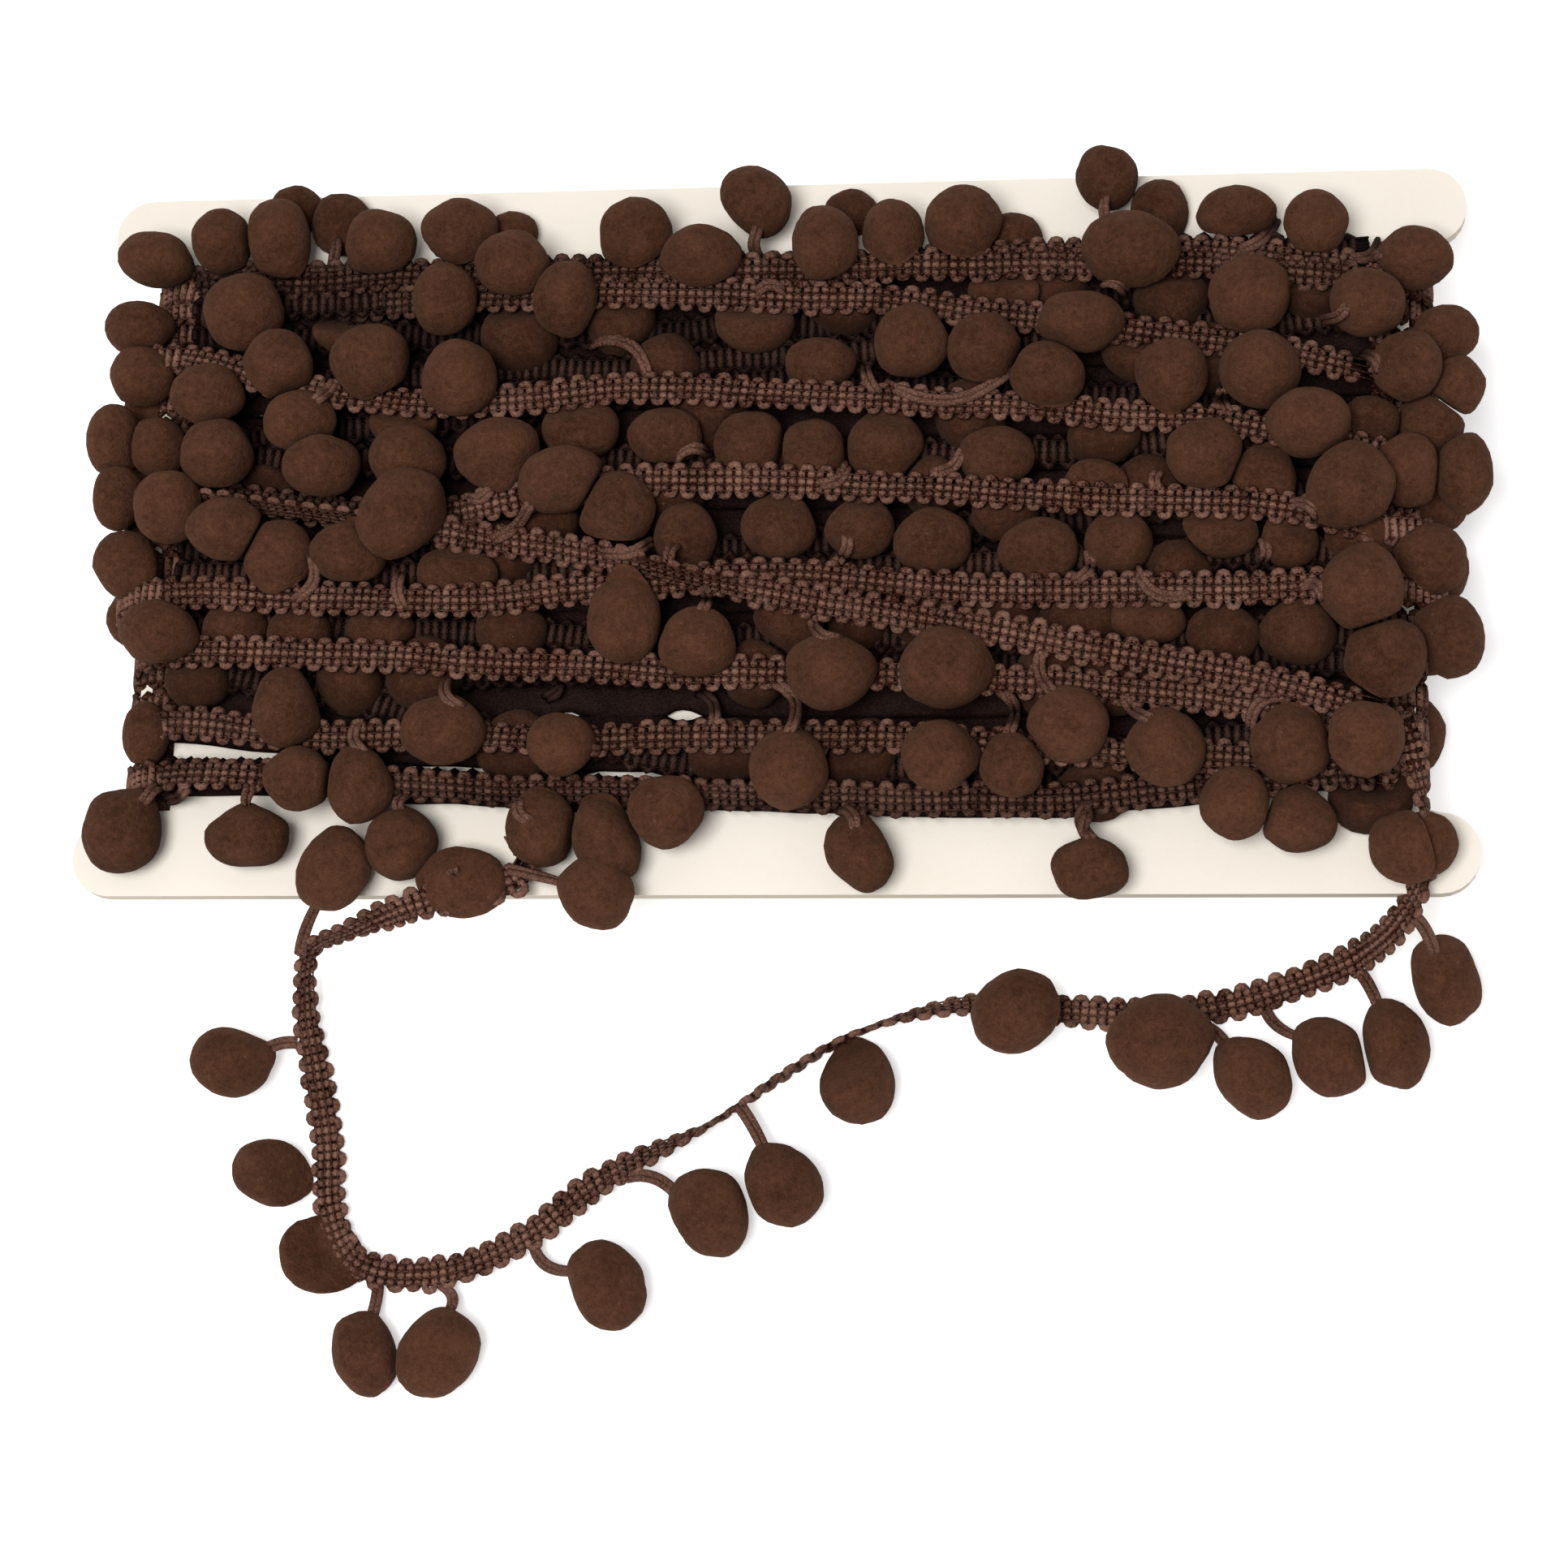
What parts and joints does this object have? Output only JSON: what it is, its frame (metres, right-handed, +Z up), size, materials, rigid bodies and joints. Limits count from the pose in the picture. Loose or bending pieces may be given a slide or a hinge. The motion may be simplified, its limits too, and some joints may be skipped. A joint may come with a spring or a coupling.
{
  "type": "pompom fringe trim",
  "caption": "Brown pompom fringe trim on a narrow looped braid, wound round a notched cream card, with one loose end looping over the table.",
  "frame": {"origin": "on the table under the middle of the card, in the flat that the wound trim rests on", "axes": "+X along the card's long side, towards the end where the loose end leaves; +Y to the card's far edge, away from the loose end; +Z up from the table"},
  "size_m": [0.2007, 0.177, 0.0334],
  "materials": {
    "card_board": "matt uncoated cream paper board",
    "brown_yarn": "matt chocolate brown yarn, looped braid and felted pompoms"
  },
  "bodies": {
    "root": {"card": "card_board", "wound_trim": "brown_yarn", "loose_end": "brown_yarn"}
  },
  "joints": []
}
